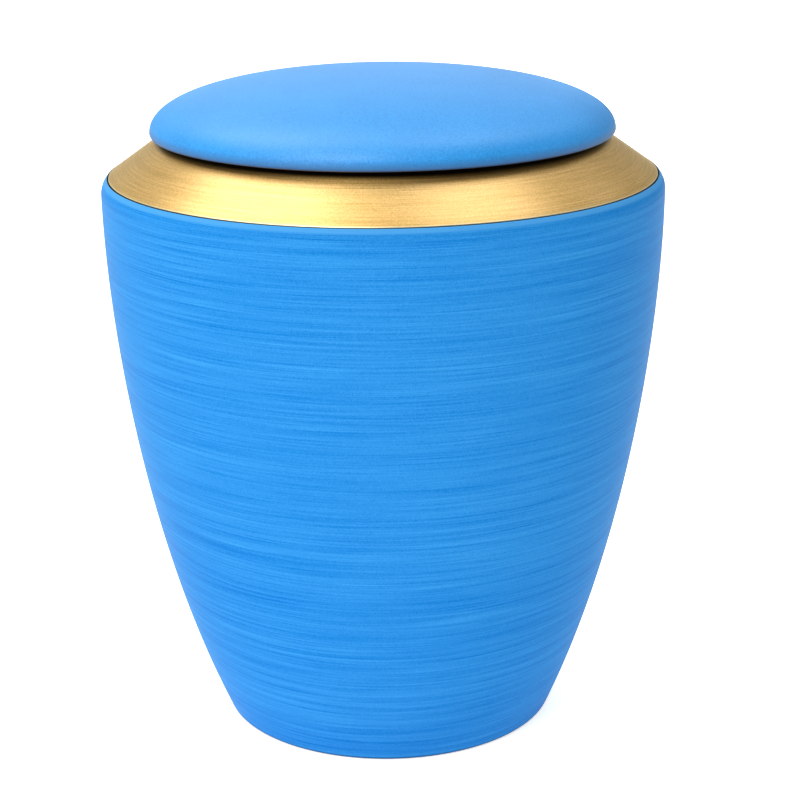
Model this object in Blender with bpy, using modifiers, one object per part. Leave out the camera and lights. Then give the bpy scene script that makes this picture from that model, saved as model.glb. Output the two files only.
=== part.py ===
"""A funeral urn: a tapered blue vessel, a gold shoulder ring and a lid that lifts off.

Metres, +Z up. The origin is on the ground, in the middle of the foot. Every piece is
turned about the Z axis from half of its section, drawn as points (radius, height).
"""

from math import asin, cos, pi, radians, sin, tan

import bpy
from mathutils import Vector
from mathutils.geometry import interpolate_bezier

# The vessel
BODY_RADIUS = 0.115
SIDE_HEIGHT = 0.2262
FOOT_RADIUS = 0.070
FOOT_LEAN = radians(23.6)
FOOT_PULL = 0.0805
SHOULDER_PULL = 0.0584
SHOULDER_ROUND = 0.0085
SHOULDER_TURN = radians(46.0)
FOOT_ROUND = 0.0025
FOOT_RING_WIDTH = 0.006
RECESS_DEPTH = 0.002
BODY_WALL = 0.0015
LEDGE_SPARE = 0.002

# The shoulder ring
CONE_RISE = radians(35.4)
MOUTH_RADIUS = 0.0862
SEAT_WIDTH = 0.003
RING_WALL = 0.0015
RING_EDGE = 0.0015
RING_FOOT_WIDTH = 0.006
THROAT_DEPTH = 0.008

# The lid
LID_OVERHANG = 0.0054
LID_EDGE_ROUND = 0.0013
CROWN_HEIGHT = 0.0218
EDGE_PULL = 0.0119
CROWN_PULL = 0.0674
LID_WALL = 0.0015
COLLAR_DEPTH = 0.012

# Clearances between the pieces
SEAM_GAP = 0.0006
SEAM_STEP = 0.0003
REST_GAP = 0.0003
COLLAR_PLAY = 0.001

# How finely the curves are cut
TURN_STEPS = 60
SIDE_POINTS = 12
ARC_POINTS = 4
DOME_POINTS = 11
SHARP_ANGLE = radians(30.0)
MERGE_DISTANCE = 0.00001

# Heights and radii that follow from the sizes above
SEAM_RADIUS = BODY_RADIUS - SHOULDER_ROUND * (1.0 - cos(SHOULDER_TURN))
SEAM_HEIGHT = SIDE_HEIGHT + SHOULDER_ROUND * sin(SHOULDER_TURN)
LEDGE_HEIGHT = SEAM_HEIGHT - RING_EDGE - REST_GAP
LEDGE_RADIUS = SEAM_RADIUS - SEAM_GAP - RING_FOOT_WIDTH - LEDGE_SPARE
RING_RADIUS = SEAM_RADIUS - SEAM_GAP
CONE_HEIGHT = SEAM_HEIGHT + SEAM_STEP
RIM_RADIUS = MOUTH_RADIUS + SEAT_WIDTH
RIM_HEIGHT = CONE_HEIGHT + (RING_RADIUS - RIM_RADIUS) * tan(CONE_RISE)
LID_BASE = RIM_HEIGHT + REST_GAP
LID_RADIUS = RIM_RADIUS + LID_OVERHANG


def clear_scene():
    """Removes what the start-up file holds."""
    for obj in list(bpy.data.objects):
        bpy.data.objects.remove(obj, do_unlink=True)


def make_material(name, colour, roughness, metallic):
    """A Principled BSDF with one colour, given as linear red, green and blue."""
    material = bpy.data.materials.new(name)
    material.use_nodes = True
    shader = material.node_tree.nodes["Principled BSDF"]
    shader.inputs["Base Color"].default_value = (*colour, 1.0)
    shader.inputs["Roughness"].default_value = roughness
    shader.inputs["Metallic"].default_value = metallic
    return material


def point(radius, height):
    return Vector((radius, height))


def arc(centre, radius, start, end, count):
    """Points on a round stretch, from angle start to angle end, both ends included."""
    angles = [start + (end - start) * i / (count - 1) for i in range(count)]
    return [centre + radius * point(cos(a), sin(a)) for a in angles]


def bezier(start, start_handle, end_handle, end, count):
    return [p.xy for p in interpolate_bezier(start, start_handle, end_handle, end, count)]


def offset(line, distance):
    """The line moved sideways to its left by distance, with mitred corners."""
    normals = []
    for a, b in zip(line, line[1:]):
        along = (b - a).normalized()
        normals.append(point(-along.y, along.x))
    before = [normals[0], *normals]
    after = [*normals, normals[-1]]
    return [
        p + (n + m) * distance / (1.0 + n.dot(m))
        for p, n, m in zip(line, before, after)
    ]


def turned(name, section, material, collection, closed=False):
    """Turns a section about Z. The section runs down its outer side, top to bottom."""
    edges = [(i, i + 1) for i in range(len(section) - 1)]
    if closed:
        edges.append((len(section) - 1, 0))
    drawing = bpy.data.meshes.new(name + "_section")
    drawing.from_pydata([(p.x, 0.0, p.y) for p in section], edges, [])
    piece = bpy.data.objects.new(name, drawing)
    collection.objects.link(piece)
    screw = piece.modifiers.new("Turn", "SCREW")
    screw.axis = "Z"
    screw.angle = 2.0 * pi
    screw.steps = TURN_STEPS
    screw.render_steps = TURN_STEPS
    screw.use_merge_vertices = True
    screw.merge_threshold = MERGE_DISTANCE
    solid = bpy.data.meshes.new_from_object(
        piece.evaluated_get(bpy.context.evaluated_depsgraph_get())
    )
    piece.modifiers.clear()
    piece.data = solid
    bpy.data.meshes.remove(drawing)
    solid.name = name
    solid.shade_smooth()
    solid.set_sharp_from_angle(angle=SHARP_ANGLE)
    solid.materials.clear()
    solid.materials.append(material)
    return piece


def foot_line():
    """The underside from the axis out: a shallow recess, a flat foot ring and its rounding."""
    half_turn = (radians(90.0) - FOOT_LEAN) / 2.0
    reach = FOOT_ROUND * tan(half_turn)
    centre = point(FOOT_RADIUS - reach, FOOT_ROUND)
    ring_inside = centre.x - FOOT_RING_WIDTH
    recess = [
        point(0.0, RECESS_DEPTH),
        point(ring_inside - RECESS_DEPTH, RECESS_DEPTH),
        point(ring_inside, 0.0),
    ]
    return recess + arc(centre, FOOT_ROUND, radians(-90.0), -FOOT_LEAN, ARC_POINTS)


def side_line():
    """The tapered side, from the foot's rounding up to the widest place."""
    foot = point(FOOT_RADIUS, 0.0)
    foot_handle = foot + FOOT_PULL * point(sin(FOOT_LEAN), cos(FOOT_LEAN))
    top = point(BODY_RADIUS, SIDE_HEIGHT)
    top_handle = top - point(0.0, SHOULDER_PULL)
    return bezier(foot, foot_handle, top_handle, top, SIDE_POINTS)[1:]


def body_section():
    """One wall from the middle of the floor to the ledge that the ring sits on."""
    centre = point(BODY_RADIUS - SHOULDER_ROUND, SIDE_HEIGHT)
    under_ledge = LEDGE_HEIGHT - BODY_WALL
    ledge_turn = asin((under_ledge - SIDE_HEIGHT) / (SHOULDER_ROUND - BODY_WALL))
    below = arc(centre, SHOULDER_ROUND, 0.0, ledge_turn, ARC_POINTS)[1:]
    above = arc(centre, SHOULDER_ROUND, ledge_turn, SHOULDER_TURN, ARC_POINTS)[1:]
    backed = foot_line() + side_line() + below
    outside = backed + above
    inside = offset(outside, BODY_WALL)[: len(backed)]
    inside[-1].y = under_ledge
    ledge = [
        point(LEDGE_RADIUS, under_ledge),
        point(LEDGE_RADIUS, LEDGE_HEIGHT),
        point(SEAM_RADIUS, LEDGE_HEIGHT),
    ]
    return inside + ledge + outside[::-1]


def ring_section():
    """A cone with a flat foot on the vessel's ledge and a short throat at the mouth."""
    slope = tan(CONE_RISE)
    drop = RING_WALL / cos(CONE_RISE)
    foot_inside = RING_RADIUS - RING_FOOT_WIDTH
    throat_outside = MOUTH_RADIUS + RING_WALL
    throat_end = RIM_HEIGHT - THROAT_DEPTH
    return [
        point(MOUTH_RADIUS, RIM_HEIGHT),
        point(RIM_RADIUS, RIM_HEIGHT),
        point(RING_RADIUS, CONE_HEIGHT),
        point(RING_RADIUS, SEAM_HEIGHT - RING_EDGE),
        point(foot_inside, SEAM_HEIGHT - RING_EDGE),
        point(foot_inside, CONE_HEIGHT + RING_FOOT_WIDTH * slope - drop),
        point(RIM_RADIUS - (drop - RING_WALL) / slope, RIM_HEIGHT - RING_WALL),
        point(throat_outside, RIM_HEIGHT - RING_WALL),
        point(throat_outside, throat_end),
        point(MOUTH_RADIUS, throat_end),
    ]


def lid_section():
    """A cushion-shaped shell, turned under at its edge, with a collar for the mouth."""
    widest = point(LID_RADIUS, LID_BASE + LID_EDGE_ROUND)
    crown = point(0.0, widest.y + CROWN_HEIGHT)
    dome = bezier(
        crown,
        crown + point(CROWN_PULL, 0.0),
        widest + point(0.0, EDGE_PULL),
        widest,
        DOME_POINTS,
    )
    edge_centre = widest - point(LID_EDGE_ROUND, 0.0)
    edge = arc(edge_centre, LID_EDGE_ROUND, 0.0, radians(-90.0), ARC_POINTS)[1:]
    collar_outside = MOUTH_RADIUS - COLLAR_PLAY
    collar_inside = collar_outside - LID_WALL
    collar_end = LID_BASE - COLLAR_DEPTH
    collar = [
        point(collar_outside, LID_BASE),
        point(collar_outside, collar_end),
        point(collar_inside, collar_end),
        point(collar_inside, LID_BASE + LID_WALL),
    ]
    corner = [point(LID_RADIUS, LID_BASE), point(collar_outside, LID_BASE)]
    inside = offset(dome[:-1] + corner, -LID_WALL)[:-1]
    inside[0].x = 0.0
    return dome + edge + collar + inside[::-1]


def build():
    clear_scene()
    collection = bpy.data.collections.new("funeral_urn")
    bpy.context.scene.collection.children.link(collection)
    blue_paint = make_material("brushed_blue_paint", (0.018, 0.275, 0.768), 0.55, 0.0)
    lid_paint = make_material("matte_blue_paint", (0.048, 0.342, 0.807), 0.65, 0.0)
    gold = make_material("brushed_gold", (0.783, 0.539, 0.162), 0.35, 1.0)
    turned("urn_body", body_section(), blue_paint, collection)
    turned("shoulder_ring", ring_section(), gold, collection, closed=True)
    turned("lid", lid_section(), lid_paint, collection)


build()
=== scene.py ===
# %% [markdown]
# # A funeral urn in brushed blue and gold
# The urn is three turned pieces: a tapered vessel, a gold shoulder ring set into its rim,
# and a cushion-shaped lid that lifts off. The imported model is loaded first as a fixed
# frame. Each piece is then made again with a finer surface on the frame's own outline,
# given its finish, and set under soft studio lamps.

from math import pi, radians

import bpy
from mathutils import Matrix, Vector


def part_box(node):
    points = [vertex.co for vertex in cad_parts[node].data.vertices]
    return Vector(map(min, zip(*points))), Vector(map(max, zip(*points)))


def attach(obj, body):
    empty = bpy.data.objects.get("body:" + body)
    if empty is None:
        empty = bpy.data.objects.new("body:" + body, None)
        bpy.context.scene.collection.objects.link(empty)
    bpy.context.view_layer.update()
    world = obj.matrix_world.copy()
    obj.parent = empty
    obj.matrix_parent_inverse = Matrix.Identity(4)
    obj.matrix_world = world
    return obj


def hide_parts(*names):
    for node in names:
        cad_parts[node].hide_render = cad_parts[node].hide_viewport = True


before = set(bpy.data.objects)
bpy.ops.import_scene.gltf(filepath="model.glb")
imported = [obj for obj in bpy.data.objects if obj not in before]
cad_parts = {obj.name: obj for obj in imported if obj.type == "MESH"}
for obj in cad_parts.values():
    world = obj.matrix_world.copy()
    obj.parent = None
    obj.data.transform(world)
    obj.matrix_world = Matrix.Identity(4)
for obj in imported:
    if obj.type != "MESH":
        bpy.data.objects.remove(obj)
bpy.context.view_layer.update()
bpy.ops.object.select_all(action="DESELECT")
print("Nodes in the frame:", ", ".join(sorted(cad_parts)))

# %% [markdown]
# ## The camera
# The photograph looks down at the urn from a little above its lid, with a long lens. The
# camera stands where the outline of the solids lies over the outline in the photograph.
# Turning it first about its own view, then down, then sideways keeps each angle plain.

# %% Place the camera
CAMERA_PLACE = Vector((0.0, -0.8114, 0.3861))
CAMERA_LENS = 90.0
CAMERA_SENSOR = 36.0
NEAREST_SEEN = 0.01
LOOK_DOWN = 0.3021
LOOK_RIGHT = 0.0073
CAMERA_ROLL = -0.0102

bpy.ops.object.camera_add()
camera = bpy.context.active_object
camera.name = "camera"
camera.data.lens = CAMERA_LENS
camera.data.sensor_width = CAMERA_SENSOR
camera.data.clip_start = NEAREST_SEEN
camera.matrix_world = (
    Matrix.Translation(CAMERA_PLACE)
    @ Matrix.Rotation(-LOOK_RIGHT, 4, "Z")
    @ Matrix.Rotation(pi / 2 - LOOK_DOWN, 4, "X")
    @ Matrix.Rotation(CAMERA_ROLL, 4, "Z")
)
bpy.context.scene.camera = camera
print("The camera stands", round(CAMERA_PLACE.length, 3), "m from the foot of the urn")

# %% [markdown]
# ## Half a section
# A turned piece is known by half of its section. Every node of the frame was turned in
# steps that start on the X axis, so its section is there already: the corners that lie
# in the XZ plane, on the +X side. A copy of the node's mesh is merged, all the rest of it
# is deleted, and what stays is a line of edges. A flat disc is one face in the frame, with
# no corner at its middle, so a line that stops short of the axis is extruded to it. The
# section could also be drawn from numbers, but read from the frame it always fits.

# %% Read the half section of a node
MERGE_DISTANCE = 0.00001
IN_PLANE = 0.000002


def select_only(thing):
    bpy.ops.object.select_all(action="DESELECT")
    thing.select_set(True)
    bpy.context.view_layer.objects.active = thing


def open_ends(mesh):
    """The ends of the line that stop short of the axis."""
    uses = [0] * len(mesh.vertices)
    for edge in mesh.edges:
        for corner in edge.vertices:
            uses[corner] += 1
    return [i for i, n in enumerate(uses) if n == 1 and mesh.vertices[i].co.x > IN_PLANE]


def half_section(node_name, piece_name):
    """A line of edges in the XZ plane: the node's section from the axis out."""
    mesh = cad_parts[node_name].data.copy()
    mesh.name = piece_name
    mesh.materials.clear()
    piece = bpy.data.objects.new(piece_name, mesh)
    bpy.context.collection.objects.link(piece)
    select_only(piece)
    bpy.ops.object.mode_set(mode="EDIT")
    bpy.ops.mesh.select_all(action="SELECT")
    bpy.ops.mesh.remove_doubles(threshold=MERGE_DISTANCE)
    bpy.ops.mesh.select_all(action="DESELECT")
    bpy.ops.object.mode_set(mode="OBJECT")
    for corner in mesh.vertices:
        corner.select = abs(corner.co.y) > IN_PLANE or corner.co.x < -IN_PLANE
    bpy.ops.object.mode_set(mode="EDIT")
    bpy.ops.mesh.delete(type="VERT")
    bpy.ops.object.mode_set(mode="OBJECT")
    for end in open_ends(mesh):
        bpy.ops.object.mode_set(mode="EDIT")
        bpy.ops.mesh.select_all(action="DESELECT")
        bpy.ops.object.mode_set(mode="OBJECT")
        mesh.vertices[end].select = True
        to_axis = (-mesh.vertices[end].co.x, 0.0, 0.0)
        bpy.ops.object.mode_set(mode="EDIT")
        bpy.ops.mesh.extrude_region_move(TRANSFORM_OT_translate={"value": to_axis})
        bpy.ops.object.mode_set(mode="OBJECT")
    print(piece_name, "has a section of", len(mesh.vertices), "corners")
    return piece


# %% [markdown]
# ## A smooth line through the corners
# The frame's round stretches are short straight runs. Seen close, their corners would
# catch the light. The section becomes a Bezier line through the same corners. Where it
# turns sharply the handles lie along the straight runs, so the edge stays. Elsewhere both
# handles share one heading, and where a short run meets a long one that heading is taken
# from the long run, so that flat stretches stay flat beside a small rounding.

# %% Draw the section as a smooth line
CORNER_TURN = radians(33)
UNEVEN = 2.5


def headings(places, closed):
    """The line's direction at each place, or None at a corner."""
    last = len(places) - 1
    runs = [after - here for here, after in zip(places, places[1:] + places[:1])]
    found = []
    for i, after in enumerate(runs):
        before = runs[i - 1]
        if not closed and i in (0, last):
            inner = after if i == 0 else before
            found.append(Vector((inner.x, 0.0, 0.0)).normalized())
        elif before.angle(after) > CORNER_TURN:
            found.append(None)
        else:
            found.append((before.normalized() + after.normalized()).normalized())
    evened = list(found)
    for i, heading in enumerate(found):
        before, after = runs[i - 1], runs[i]
        inside = closed or 0 < i < last
        lengths = sorted((before.length, after.length))
        if inside and heading is not None and lengths[1] > UNEVEN * lengths[0]:
            far = i - 1 if before.length > after.length else (i + 1) % len(places)
            along = (before if far == i - 1 else after).normalized()
            other = along if found[far] is None else found[far]
            evened[i] = 2.0 * other.dot(along) * along - other
    return runs, evened


def smooth_line(piece, points_per_run):
    """Turns the piece's line of edges into a finer one, round where the real one is."""
    select_only(piece)
    bpy.ops.object.convert(target="CURVE")
    bpy.ops.object.mode_set(mode="EDIT")
    bpy.ops.curve.select_all(action="SELECT")
    bpy.ops.curve.spline_type_set(type="BEZIER")
    bpy.ops.curve.handle_type_set(type="FREE_ALIGN")
    bpy.ops.object.mode_set(mode="OBJECT")
    line = piece.data.splines[0]
    line.resolution_u = points_per_run
    places = [point.co.copy() for point in line.bezier_points]
    runs, directions = headings(places, line.use_cyclic_u)
    for i, point in enumerate(line.bezier_points):
        before, after, heading = runs[i - 1], runs[i], directions[i]
        point.handle_left_type = "FREE"
        point.handle_right_type = "FREE"
        back = before.normalized() if heading is None else heading
        ahead = after.normalized() if heading is None else heading
        point.handle_left = point.co - back * before.length / 3.0
        point.handle_right = point.co + ahead * after.length / 3.0
    bpy.ops.object.convert(target="MESH")
    print(piece.name, "is drawn with", len(piece.data.vertices), "points")


# %% [markdown]
# ## Turning and easing the edges
# Spin turns the line about the upright axis, as a lathe would. The first and last copies
# are merged, and the normals are worked out afresh, because a spin can leave them pointing
# inwards. A Screw modifier would turn it too, but a spin leaves a plain mesh at once. No
# metal edge is perfectly sharp, so a small bevel breaks every edge that turns by more than
# the corner angle. It catches a thin line of light, as the real edges do.

# %% Turn a piece from its section
TURN_STEPS = 192
EDGE_WIDTH = 0.0002
EDGE_SEGMENTS = 3
POINTS_PER_RUN = 6
SMOOTH_TURN = radians(30)


def turn_piece(node_name, piece_name, edge_width=EDGE_WIDTH):
    """A finished mesh on the outline of a node of the frame."""
    piece = half_section(node_name, piece_name)
    smooth_line(piece, POINTS_PER_RUN)
    bpy.ops.object.mode_set(mode="EDIT")
    bpy.ops.mesh.select_all(action="SELECT")
    bpy.ops.mesh.spin(steps=TURN_STEPS, angle=2.0 * pi, center=(0, 0, 0), axis=(0, 0, 1))
    bpy.ops.mesh.select_all(action="SELECT")
    bpy.ops.mesh.remove_doubles(threshold=MERGE_DISTANCE)
    bpy.ops.mesh.normals_make_consistent(inside=False)
    bpy.ops.object.mode_set(mode="OBJECT")
    bpy.ops.object.modifier_add(type="BEVEL")
    eased = piece.modifiers[-1]
    eased.width = edge_width
    eased.segments = EDGE_SEGMENTS
    eased.limit_method = "ANGLE"
    eased.angle_limit = CORNER_TURN
    bpy.ops.object.modifier_apply(modifier=eased.name)
    bpy.ops.object.shade_smooth_by_angle(angle=SMOOTH_TURN)
    triangles = sum(len(face.vertices) - 2 for face in piece.data.polygons)
    print(piece_name, "has", triangles, "triangles")
    return piece


# %% [markdown]
# ## Lines that run round the urn
# The vessel and the gold ring were both brushed while they turned, so their fine lines
# follow level rings. A picture of brush strokes would need a UV map and would show its
# seam. Noise read at the surface point has no seam, and it gives such lines when it is
# stretched: slowly changing along X and Y, and fast across. Across is height less
# distance from the axis, which changes along every part of these sections. The group is
# built once, and each finish asks it for lines of its own length and width.

# %% Build the node group for turned lines
LINE_ROUGHNESS = 0.55


def add_node(tree, kind, x, y, **settings):
    node = tree.nodes.new(kind)
    node.location = (x, y)
    for name, value in settings.items():
        setattr(node, name, value)
    return node


def add_socket(group, name, value=None):
    """An input of a group with its usual value, or an output where there is none."""
    in_out = "OUTPUT" if value is None else "INPUT"
    socket = group.interface.new_socket(name, in_out=in_out, socket_type="NodeSocketFloat")
    if value is not None:
        socket.default_value = value


def ring_lines_group():
    """Noise from 0 to 1 in lines that follow level rings about the Z axis."""
    group = bpy.data.node_groups.new("ring_lines", "ShaderNodeTree")
    add_socket(group, "Line Length", 0.04)
    add_socket(group, "Line Width", 0.001)
    add_socket(group, "Shift", 0.0)
    add_socket(group, "Detail", 2.0)
    add_socket(group, "Lines")
    inputs = add_node(group, "NodeGroupInput", -1000, 0)
    outputs = add_node(group, "NodeGroupOutput", 600, 0)
    place = add_node(group, "ShaderNodeTexCoord", -1000, 300)
    parts = add_node(group, "ShaderNodeSeparateXYZ", -800, 300)
    level = add_node(group, "ShaderNodeCombineXYZ", -600, 450)
    radius = add_node(group, "ShaderNodeVectorMath", -400, 450, operation="LENGTH")
    across = add_node(group, "ShaderNodeMath", -200, 300, operation="SUBTRACT")
    steps = add_node(group, "ShaderNodeMath", 0, 300, operation="DIVIDE")
    along_x = add_node(group, "ShaderNodeMath", -200, 120, operation="DIVIDE")
    along_y = add_node(group, "ShaderNodeMath", -200, -60, operation="DIVIDE")
    shifted = add_node(group, "ShaderNodeMath", 0, 120, operation="ADD")
    stretched = add_node(group, "ShaderNodeCombineXYZ", 200, 120)
    noise = add_node(group, "ShaderNodeTexNoise", 400, 120)
    noise.inputs["Scale"].default_value = 1.0
    noise.inputs["Roughness"].default_value = LINE_ROUGHNESS

    link = group.links.new
    link(place.outputs["Object"], parts.inputs[0])
    link(parts.outputs["X"], level.inputs["X"])
    link(parts.outputs["Y"], level.inputs["Y"])
    link(level.outputs[0], radius.inputs[0])
    link(parts.outputs["Z"], across.inputs[0])
    link(radius.outputs["Value"], across.inputs[1])
    link(across.outputs[0], steps.inputs[0])
    link(inputs.outputs["Line Width"], steps.inputs[1])
    link(parts.outputs["X"], along_x.inputs[0])
    link(inputs.outputs["Line Length"], along_x.inputs[1])
    link(parts.outputs["Y"], along_y.inputs[0])
    link(inputs.outputs["Line Length"], along_y.inputs[1])
    link(along_x.outputs[0], shifted.inputs[0])
    link(inputs.outputs["Shift"], shifted.inputs[1])
    link(shifted.outputs[0], stretched.inputs["X"])
    link(along_y.outputs[0], stretched.inputs["Y"])
    link(steps.outputs[0], stretched.inputs["Z"])
    link(stretched.outputs[0], noise.inputs["Vector"])
    link(inputs.outputs["Detail"], noise.inputs["Detail"])
    link(noise.outputs["Fac"], outputs.inputs["Lines"])
    return group


ring_lines = ring_lines_group()
print("Group", ring_lines.name, "has", len(ring_lines.nodes), "nodes")

# %% [markdown]
# ## Grain, and a mask by height
# Two more effects are shared. Grain is plain noise with specks of a given size, as a
# sprayed coat has. The height mask goes from 0 to 1 between two heights on the piece. It
# places what changes near an edge: the painted sheen on the rounded rim, the painted shade
# on the gold under the lid, the painted shade at the foot. A painted mask would need a UV
# map. A mask by height needs none, and it is exact on pieces that are turned about the
# upright axis.

# %% Build the node groups for grain and for the height mask


def grain_group():
    """Specks of about one size, in metres, the same in every direction."""
    group = bpy.data.node_groups.new("paint_grain", "ShaderNodeTree")
    add_socket(group, "Speck Size", 0.001)
    add_socket(group, "Detail", 2.0)
    add_socket(group, "Grain")
    inputs = add_node(group, "NodeGroupInput", -600, 0)
    outputs = add_node(group, "NodeGroupOutput", 200, 0)
    place = add_node(group, "ShaderNodeTexCoord", -400, 200)
    scale = add_node(group, "ShaderNodeMath", -400, -50, operation="DIVIDE")
    scale.inputs[0].default_value = 1.0
    noise = add_node(group, "ShaderNodeTexNoise", -150, 100)
    group.links.new(inputs.outputs["Speck Size"], scale.inputs[1])
    group.links.new(place.outputs["Object"], noise.inputs["Vector"])
    group.links.new(scale.outputs[0], noise.inputs["Scale"])
    group.links.new(inputs.outputs["Detail"], noise.inputs["Detail"])
    group.links.new(noise.outputs["Fac"], outputs.inputs["Grain"])
    return group


def height_mask_group():
    """A mask that goes from 0 at one height on the piece to 1 at another."""
    group = bpy.data.node_groups.new("height_mask", "ShaderNodeTree")
    add_socket(group, "Starts At", 0.0)
    add_socket(group, "Full At", 0.1)
    add_socket(group, "Mask")
    inputs = add_node(group, "NodeGroupInput", -600, 0)
    outputs = add_node(group, "NodeGroupOutput", 200, 0)
    place = add_node(group, "ShaderNodeTexCoord", -600, 200)
    parts = add_node(group, "ShaderNodeSeparateXYZ", -400, 200)
    share = add_node(group, "ShaderNodeMapRange", -150, 100)
    group.links.new(place.outputs["Object"], parts.inputs[0])
    group.links.new(parts.outputs["Z"], share.inputs["Value"])
    group.links.new(inputs.outputs["Starts At"], share.inputs["From Min"])
    group.links.new(inputs.outputs["Full At"], share.inputs["From Max"])
    group.links.new(share.outputs["Result"], outputs.inputs["Mask"])
    return group


paint_grain = grain_group()
height_mask = height_mask_group()
print("Groups", paint_grain.name, "and", height_mask.name, "are ready")

# %% [markdown]
# ## Colours and a plain finish
# Colours are written as a screen shows them, from 0 to 255, and changed to the linear
# values that a shader works in. A finish starts as a Principled BSDF, which serves paint
# and metal alike, so that each finish only has to say what is its own.

# %% Start a finish


def screen_colour(red, green, blue):
    """A colour as a screen shows it, as linear red, green, blue and a full alpha."""
    shares = [value / 255.0 for value in (red, green, blue)]
    linear = [
        share / 12.92 if share <= 0.04045 else ((share + 0.055) / 1.055) ** 2.4
        for share in shares
    ]
    return (*linear, 1.0)


def new_finish(name, roughness=0.5, metallic=0.0, specular=0.5):
    """A material with its node tree and its Principled BSDF."""
    material = bpy.data.materials.new(name)
    material.use_nodes = True
    tree = material.node_tree
    shader = tree.nodes["Principled BSDF"]
    shader.inputs["Roughness"].default_value = roughness
    shader.inputs["Metallic"].default_value = metallic
    shader.inputs["Specular IOR Level"].default_value = specular
    print("Mixing", name)
    return material, tree, shader


print("A screen's middle grey is", round(screen_colour(128, 128, 128)[0], 3), "in a shader")

# %% [markdown]
# ## Placing the shared effects
# Each group is placed in a finish as one node, with that finish's own values. The groups
# give plain numbers from 0 to 1, so a finish can use them for colour, gloss or relief.

# %% Place a group in a finish


def add_lines(tree, x, y, length, width, shift, detail=2.0):
    """The turned lines, placed in a finish with its own values."""
    lines = add_node(tree, "ShaderNodeGroup", x, y, node_tree=ring_lines)
    lines.inputs["Line Length"].default_value = length
    lines.inputs["Line Width"].default_value = width
    lines.inputs["Shift"].default_value = shift
    lines.inputs["Detail"].default_value = detail
    return lines.outputs["Lines"]


def add_grain(tree, x, y, size, detail=2.0):
    """The grain, placed in a finish with specks of its own size."""
    grain = add_node(tree, "ShaderNodeGroup", x, y, node_tree=paint_grain)
    grain.inputs["Speck Size"].default_value = size
    grain.inputs["Detail"].default_value = detail
    return grain.outputs["Grain"]


def by_height(tree, x, y, heights):
    """The height mask, 0 at the first of two heights and 1 at the second."""
    mask = add_node(tree, "ShaderNodeGroup", x, y, node_tree=height_mask)
    mask.inputs["Starts At"].default_value = heights[0]
    mask.inputs["Full At"].default_value = heights[1]
    return mask.outputs["Mask"]


print("Effects to place:", ", ".join(group.name for group in bpy.data.node_groups))

# %% [markdown]
# ## One height for colour, gloss and relief
# On a brushed surface the ridges are paler and less glossy than the grooves beside them.
# So lines and grain are summed into one height, each with its own share, and that height
# chooses between a deep and a pale colour, varies the gloss and tilts the surface. Three
# separate noises would never agree like that. A Mix node has sockets for several kinds of
# data under the same names, so its colours are picked by number.

# %% Shape a finish by its height
MIX_COLOURS = (6, 7)
MIX_RESULT = 2


def remap(tree, x, y, value, old, new=(0.0, 1.0)):
    """Stretches a value from an old range to a new one, and holds it within the new."""
    node = add_node(tree, "ShaderNodeMapRange", x, y)
    node.inputs["From Min"].default_value, node.inputs["From Max"].default_value = old
    node.inputs["To Min"].default_value, node.inputs["To Max"].default_value = new
    tree.links.new(value, node.inputs["Value"])
    return node.outputs["Result"]


def weigh(tree, x, y, parts):
    """The sum of several values, each times its own share."""
    total = None
    for step, (value, share) in enumerate(parts):
        node = add_node(tree, "ShaderNodeMath", x + step * 180, y, operation="MULTIPLY_ADD")
        tree.links.new(value, node.inputs[0])
        node.inputs[1].default_value = share
        node.inputs[2].default_value = 0.0
        if total is not None:
            tree.links.new(total, node.inputs[2])
        total = node.outputs[0]
    return total


def blend_colours(tree, x, y, mask, low, high):
    """One colour where the mask is 0, another where it is 1."""
    node = add_node(tree, "ShaderNodeMix", x, y, data_type="RGBA")
    tree.links.new(mask, node.inputs["Factor"])
    for number, colour in zip(MIX_COLOURS, (low, high)):
        if isinstance(colour, tuple):
            node.inputs[number].default_value = colour
        else:
            tree.links.new(colour, node.inputs[number])
    return node.outputs[MIX_RESULT]


def raise_surface(tree, shader, height, depth):
    """Lets a height from 0 to 1 tilt the surface, with its real depth in metres."""
    bump = add_node(tree, "ShaderNodeBump", -200, -400)
    bump.inputs["Distance"].default_value = depth
    tree.links.new(height, bump.inputs["Height"])
    tree.links.new(bump.outputs["Normal"], shader.inputs["Normal"])
    print("Its relief is", round(depth * 1000, 3), "mm deep")


# %% [markdown]
# ## The brushed blue paint
# The vessel's paint was drawn round with a coarse brush. Three sets of lines lie over
# each other: broad bands a few millimetres high, narrower strokes, and hair lines. Fine
# grain lies over them all. The relief is only hundredths of a millimetre deep, so it is a
# bump in the finish and not cut into the mesh. The paint is almost without gloss. Its
# rounded rim is paler as a painted sheen, and the very foot is deep as painted shade.

# %% Mix the brushed blue paint
PAINT_DEEP = screen_colour(0, 116, 201)
PAINT_PALE = screen_colour(62, 158, 227)
# Painted sheen: the rim's rounded band is coloured paler in place of the light it catches.
PAINT_RIM_SHEEN = screen_colour(74, 157, 222)
# Painted shade: the very foot is coloured deep where it turns under into shade.
PAINT_FOOT_SHADE = screen_colour(0, 44, 86)
PAINT_CONTRAST = (0.36, 0.64)
PAINT_ROUGHNESS = (0.4, 0.52)
PAINT_SHINE = 0.03
PAINT_RELIEF = 0.00003
RIM_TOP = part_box("urn_body")[1].z
RIM_SHEEN_HEIGHTS = (RIM_TOP - 0.0022, RIM_TOP - 0.0014)
FOOT_SHADE_HEIGHTS = (0.0018, 0.0006)


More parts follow.
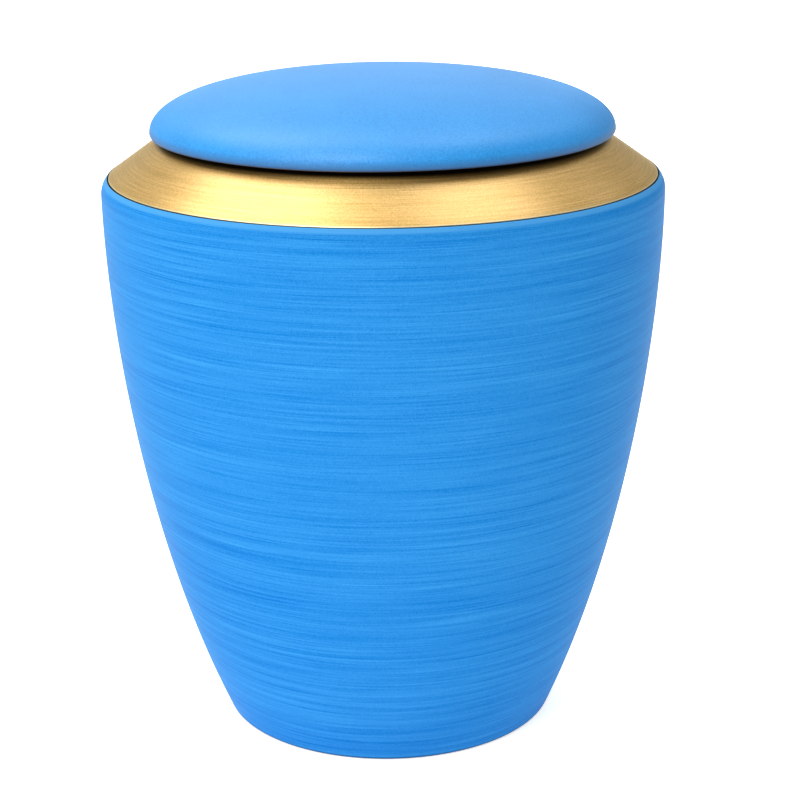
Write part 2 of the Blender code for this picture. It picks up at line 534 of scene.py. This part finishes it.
def brushed_blue_paint():
    material, tree, shader = new_finish("brushed_blue_paint", specular=PAINT_SHINE)
    bands = add_lines(tree, -1400, 400, length=0.25, width=0.003, shift=3.0)
    strokes = add_lines(tree, -1400, 150, length=0.12, width=0.0013, shift=11.0)
    hairs = add_lines(tree, -1400, -100, length=0.05, width=0.0005, shift=23.0)
    grain = add_grain(tree, -1400, -350, size=0.0005)
    parts = [(bands, 0.14), (strokes, 0.18), (hairs, 0.38), (grain, 0.3)]
    height = weigh(tree, -1100, 0, parts)
    mask = remap(tree, -350, 200, height, PAINT_CONTRAST)
    stroked = blend_colours(tree, -150, 200, mask, PAINT_DEEP, PAINT_PALE)
    # Painted sheen: the rounded rim is coloured paler where it would catch light.
    rim = by_height(tree, -350, 500, RIM_SHEEN_HEIGHTS)
    with_rim_sheen = blend_colours(tree, 50, 200, rim, stroked, PAINT_RIM_SHEEN)
    # Painted shade: the very foot is coloured deep where it turns under into shade.
    foot = by_height(tree, -350, 700, FOOT_SHADE_HEIGHTS)
    colour = blend_colours(tree, 250, 200, foot, with_rim_sheen, PAINT_FOOT_SHADE)
    roughness = remap(tree, -350, -100, height, PAINT_CONTRAST, PAINT_ROUGHNESS)
    tree.links.new(colour, shader.inputs["Base Color"])
    tree.links.new(roughness, shader.inputs["Roughness"])
    raise_surface(tree, shader, height, PAINT_RELIEF)
    return material


# %% [markdown]
# ## The brushed gold
# The ring is metal, so its colour is the colour of its reflections, and it keeps a warm
# tint where it is seen at a low angle. Brushing makes it smoother along the lines than
# across them. The shader's anisotropy does that, with a tangent that runs round the axis:
# the light spreads into soft fans across the ring. A thin coat over it stands for the
# lacquer that keeps it bright. The gold under the lid's overhang is coloured dark as
# painted shade from the lid, and a paler line along its lower edge is a painted highlight.

# %% Mix the brushed gold
GOLD_DEEP = screen_colour(196, 149, 60)
GOLD_PALE = screen_colour(250, 211, 138)
# Painted highlight: a paler line on the ring's lower edge, where its bevel catches light.
GOLD_EDGE_HIGHLIGHT = screen_colour(255, 238, 190)
GOLD_GRAZING = (1.0, 0.97, 0.68, 1.0)
# Painted shade: the gold under the lid's overhang is coloured dark where the lid shades it.
LID_SHADE_ON_GOLD = screen_colour(36, 26, 6)
GOLD_CONTRAST = (0.34, 0.66)
GOLD_ROUGHNESS = (0.4, 0.48)
GOLD_RELIEF = 0.000006
CONE_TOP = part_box("shoulder_ring")[1].z
LID_SHADE_HEIGHTS = (CONE_TOP - 0.0029, CONE_TOP - 0.0013)
EDGE_HIGHLIGHT_HEIGHTS = (RIM_TOP + 0.0007, RIM_TOP + 0.0003)
BRUSHING = {
    "Specular Tint": GOLD_GRAZING,
    "Anisotropic": 0.5,
    "Anisotropic Rotation": 0.25,
    "Coat Weight": 0.45,
    "Coat Roughness": 0.28,
    "Coat IOR": 1.65,
}


def brushed_gold():
    material, tree, shader = new_finish("brushed_gold", metallic=1.0)
    for name, amount in BRUSHING.items():
        shader.inputs[name].default_value = amount
    grooves = add_lines(tree, -1400, 300, length=0.12, width=0.0009, shift=5.0)
    scratches = add_lines(tree, -1400, 50, length=0.02, width=0.0005, shift=17.0)
    grain = add_grain(tree, -1400, -200, size=0.0006)
    parts = [(grooves, 0.25), (scratches, 0.35), (grain, 0.4)]
    height = weigh(tree, -1100, 0, parts)
    mask = remap(tree, -350, 200, height, GOLD_CONTRAST)
    brushed = blend_colours(tree, -150, 200, mask, GOLD_DEEP, GOLD_PALE)
    # Painted shade on the gold under the lid's overhang.
    lid_shade = by_height(tree, -350, 500, LID_SHADE_HEIGHTS)
    lid_shaded = blend_colours(tree, 50, 200, lid_shade, brushed, LID_SHADE_ON_GOLD)
    # Painted highlight along the ring's lower edge.
    edge = by_height(tree, -350, 700, EDGE_HIGHLIGHT_HEIGHTS)
    colour = blend_colours(tree, 250, 200, edge, lid_shaded, GOLD_EDGE_HIGHLIGHT)
    roughness = remap(tree, -350, -100, height, GOLD_CONTRAST, GOLD_ROUGHNESS)
    tree.links.new(colour, shader.inputs["Base Color"])
    tree.links.new(roughness, shader.inputs["Roughness"])
    tangent = add_node(tree, "ShaderNodeTangent", -150, -600, direction_type="RADIAL", axis="Z")
    tree.links.new(tangent.outputs[0], shader.inputs["Tangent"])
    raise_surface(tree, shader, height, GOLD_RELIEF)
    # This band of painted shade starts where the lid begins to shade the gold.
    print("The gold's painted_shade starts", round((CONE_TOP - LID_SHADE_HEIGHTS[0]) * 1000, 1), "mm down")
    return material


# %% [markdown]
# ## The matte blue of the lid
# The lid's paint is smooth, without strokes. A single flat colour would look like
# plastic, so it has the fine grain of a sprayed coat: specks about half a millimetre
# across, and a slow drift in depth of colour over a few centimetres. Its sheen is wide and
# soft, which makes it pale where it is seen at a low angle. The edge that turns under is
# deeper in colour as painted shade.

# %% Mix the matte blue paint
LID_DEEP = screen_colour(4, 131, 207)
LID_PALE = screen_colour(42, 161, 241)
# Painted shade: the lid's turned-under edge is coloured deeper where it faces down into shade.
LID_EDGE_SHADE = screen_colour(0, 84, 148)
LID_CONTRAST = (0.34, 0.66)
LID_ROUGHNESS = 0.5
LID_SHINE = 0.75
LID_RELIEF = 0.00002
LID_BOTTOM = CONE_TOP
EDGE_SHADE_HEIGHTS = (LID_BOTTOM + 0.0045, LID_BOTTOM + 0.0006)


def matte_blue_paint():
    material, tree, shader = new_finish("matte_blue_paint", LID_ROUGHNESS, specular=LID_SHINE)
    grain = add_grain(tree, -1400, 150, size=0.0006)
    drift = add_grain(tree, -1400, -150, size=0.03, detail=3.0)
    depth = weigh(tree, -900, 0, [(grain, 0.8), (drift, 0.2)])
    mask = remap(tree, -350, 200, depth, LID_CONTRAST)
    sprayed = blend_colours(tree, -150, 200, mask, LID_DEEP, LID_PALE)
    # Painted shade on the lid's edge that turns under.
    edge = by_height(tree, -350, 500, EDGE_SHADE_HEIGHTS)
    colour = blend_colours(tree, 50, 200, edge, sprayed, LID_EDGE_SHADE)
    tree.links.new(colour, shader.inputs["Base Color"])
    raise_surface(tree, shader, grain, LID_RELIEF)
    print("The lid's paint has", len(tree.nodes), "nodes")
    return material


# %% [markdown]
# ## The bare metal
# Where the paint ends, under the lid's turned edge and inside the urn, the spun sheet
# is left plain: a dull, slightly warm grey with faint turning marks. The faces that the
# paint doesn't reach are found by where they are and which way they look, as a painter
# masks them off, and they take this metal as the piece's second material.

# %% Mix the bare metal
METAL_DEEP = screen_colour(78, 74, 68)
METAL_PALE = screen_colour(100, 95, 88)
METAL_CONTRAST = (0.3, 0.7)
METAL_RELIEF = 0.00001


def bare_metal():
    material, tree, shader = new_finish("bare_spun_metal", metallic=1.0)
    marks = add_lines(tree, -1100, 0, length=0.08, width=0.0008, shift=31.0)
    mask = remap(tree, -500, 200, marks, METAL_CONTRAST)
    colour = blend_colours(tree, -250, 200, mask, METAL_DEEP, METAL_PALE)
    tree.links.new(colour, shader.inputs["Base Color"])
    raise_surface(tree, shader, marks, METAL_RELIEF)
    return material


bare = bare_metal()


def strip_hidden_faces(piece, is_finished):
    """Gives bare metal to the faces that the finish doesn't reach."""
    piece.data.materials.append(bare)
    bare_slot = len(piece.data.materials) - 1
    bare_faces = 0
    for face in piece.data.polygons:
        from_axis = Vector((face.center.x, face.center.y, 0.0))
        out = face.normal.dot(from_axis.normalized())
        if not is_finished(from_axis.length, face.center.z, out, face.normal.z):
            face.material_index = bare_slot
            bare_faces += 1
    print(piece.name, "has", bare_faces, "bare faces of", len(piece.data.polygons))


# %% [markdown]
# ## The vessel
# One spun metal wall from the middle of the foot to the ledge under the ring. Its side
# swells from a narrow foot to a rounded shoulder. Only the outside is painted, down
# round the foot to where it meets the ground: the faces that look outwards.

# %% Make the vessel
OUTWARDS = 0.2

vessel = turn_piece("urn_body", "urn_vessel")
vessel.data.materials.append(brushed_blue_paint())
strip_hidden_faces(vessel, lambda radius, height, out, up: out > OUTWARDS)
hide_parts("urn_body")
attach(vessel, "root")

# %% [markdown]
# ## The shoulder ring
# A cone of brushed gold that stands on the vessel's ledge. The thin groove between them
# is the dark line all round under the gold. Its edge is eased a little wider than the
# others, as it catches a bright line of light. The cone's upper side and the throat that
# shows when the lid is off are gold, and the underside is bare.

# %% Make the shoulder ring
RING_EDGE_WIDTH = 0.0003
THROAT_REACH = 0.008
UPWARDS = 0.1
INWARDS = -0.5

ring = turn_piece("shoulder_ring", "gold_shoulder", edge_width=RING_EDGE_WIDTH)
ring.data.materials.append(brushed_gold())
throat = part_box("lid")[1].x - THROAT_REACH
strip_hidden_faces(
    ring,
    lambda radius, height, out, up: up > UPWARDS or (out < INWARDS and radius < throat),
)
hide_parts("shoulder_ring")
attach(ring, "root")

# %% [markdown]
# ## The lid
# A hollow cushion-shaped shell whose edge turns under and overhangs the ring's mouth,
# with a short collar that keeps it centred. It rests on the ring and lifts off. The paint
# covers the dome and goes round the turned edge. Below that, and inside, it is bare.

# %% Make the lid
TURNED_UNDER = -0.7
TURNED_IN = -0.1

lid = turn_piece("lid", "cushion_lid")
lid.data.materials.append(matte_blue_paint())
strip_hidden_faces(
    lid,
    lambda radius, height, out, up: height > LID_BOTTOM
    and up > TURNED_UNDER
    and out > TURNED_IN,
)
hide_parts("lid")
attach(lid, "root")

# %% [markdown]
# ## The floor and the sky
# The photograph was taken on pure white, so the ground and the backdrop both show as
# white. A wide pale floor that glows does that, and it throws light up at the narrow foot
# of the urn, as a white table under strong lamps does. The glow is stronger far from the
# urn than near it. The camera sees it brighter than it shines on the urn, so that only a
# trace of a shadow is left. The sky works the same way: it is white to the camera, while
# the light that it sends to the urn is a soft grey, dimmer on the right.

# %% Lay the floor and hang the sky
FLOOR_SIZE = 12.0
FLOOR_PALE = (0.92, 0.92, 0.92, 1.0)
FLOOR_ROUGHNESS = 0.9
NEAR_GLOW = (0.5, 0.5, 0.5, 1.0)
FAR_GLOW = (0.72, 0.72, 0.72, 1.0)
SEEN_GLOW = 1.5
GLOW_REACH = (0.3, 1.6)
SKY_LEFT = (0.44, 0.44, 0.44, 1.0)
SKY_RIGHT = (0.16, 0.16, 0.16, 1.0)
SKY_TURN = (-0.5, 0.9)
BACKDROP = (1.0, 1.0, 1.0, 1.0)


def studio_white():
    """A pale floor that glows, more with its distance from the urn."""
    material, tree, shader = new_finish("studio_white", FLOOR_ROUGHNESS)
    shader.inputs["Base Color"].default_value = FLOOR_PALE
    place = add_node(tree, "ShaderNodeTexCoord", -900, 0)
    reach = add_node(tree, "ShaderNodeVectorMath", -700, 0, operation="LENGTH")
    tree.links.new(place.outputs["Object"], reach.inputs[0])
    far_share = remap(tree, -500, 0, reach.outputs["Value"], GLOW_REACH)
    glow = blend_colours(tree, -250, 0, far_share, NEAR_GLOW, FAR_GLOW)
    tree.links.new(glow, shader.inputs["Emission Color"])
    ray = add_node(tree, "ShaderNodeLightPath", -700, -300)
    is_seen = ray.outputs["Is Camera Ray"]
    strength = remap(tree, -250, -300, is_seen, (0.0, 1.0), (1.0, SEEN_GLOW))
    tree.links.new(strength, shader.inputs["Emission Strength"])
    return material


def studio_sky():
    """A grey sky, dimmer on the right, and white where the camera sees it."""
    world = bpy.data.worlds.new("studio_sky")
    world.use_nodes = True
    tree = world.node_tree
    sky = tree.nodes["Background"]
    place = add_node(tree, "ShaderNodeTexCoord", -900, 0)
    parts = add_node(tree, "ShaderNodeSeparateXYZ", -700, 0)
    tree.links.new(place.outputs["Generated"], parts.inputs[0])
    to_right = remap(tree, -500, 0, parts.outputs["X"], SKY_TURN)
    colour = blend_colours(tree, -250, 0, to_right, SKY_LEFT, SKY_RIGHT)
    tree.links.new(colour, sky.inputs["Color"])
    backdrop = add_node(tree, "ShaderNodeBackground", 0, -200)
    backdrop.inputs["Color"].default_value = BACKDROP
    ray = add_node(tree, "ShaderNodeLightPath", 0, 300)
    either = add_node(tree, "ShaderNodeMixShader", 250, 0)
    tree.links.new(ray.outputs["Is Camera Ray"], either.inputs[0])
    tree.links.new(sky.outputs[0], either.inputs[1])
    tree.links.new(backdrop.outputs[0], either.inputs[2])
    tree.links.new(either.outputs[0], tree.nodes["World Output"].inputs[0])
    return world


bpy.ops.mesh.primitive_plane_add(size=FLOOR_SIZE, location=(0, 0, 0))
floor = bpy.context.active_object
floor.name = "studio_floor"
floor.data.materials.append(studio_white())
bpy.context.scene.world = studio_sky()
print("The floor is", FLOOR_SIZE, "m wide")

# %% [markdown]
# ## The lamps
# All lamps are square and soft, and face the urn's upper half. The strongest stand high
# in front and on the left, so the urn is brightest there and darker on the right. Of the
# three that hang over it, the two at the sides matter most: brushed metal spreads each of
# them into a bright fan on the cone. The others light the back, and give the lid its soft
# sheen and both sides their pale edges. The Standard view shows each colour just as it
# was worked out, so white stays white.

# %% Set up the lamps
AIM = Vector((0.0, 0.0, 0.18))
SOFTBOXES = {
    "softbox_over_left": ((-0.54, 0.30, 1.32), 0.8, 6.9),
    "softbox_over_right": ((0.40, 0.20, 1.40), 0.6, 3.3),
    "softbox_over": ((0.0, 0.3, 1.5), 1.2, 1.6),
    "softbox_high_right": ((0.85, 0.70, 1.25), 0.6, 0.7),
    "softbox_high_front": ((-0.42, -0.98, 1.3), 0.5, 8.0),
    "softbox_front_left": ((-1.1, -1.3, 0.9), 1.0, 5.6),
    "softbox_right": ((1.6, 0.0, 0.7), 1.0, 0.8),
    "softbox_back": ((0.0, 1.9, 0.8), 1.2, 3.6),
    "softbox_back_left": ((-1.0, 1.3, 0.9), 1.0, 0.7),
    "softbox_back_right": ((1.0, 1.3, 0.9), 1.0, 0.6),
}


def add_softbox(name, place, size, power):
    """A square lamp of a given side in metres and power in watts, facing the urn."""
    bpy.ops.object.light_add(type="AREA", location=place)
    lamp = bpy.context.active_object
    lamp.name = name
    lamp.data.size = size
    lamp.data.energy = power
    lamp.rotation_euler = (AIM - Vector(place)).to_track_quat("-Z", "Y").to_euler()


for name, (place, size, power) in SOFTBOXES.items():
    add_softbox(name, place, size, power)
bpy.context.scene.view_settings.view_transform = "Standard"
print("Soft lamps:", ", ".join(SOFTBOXES))
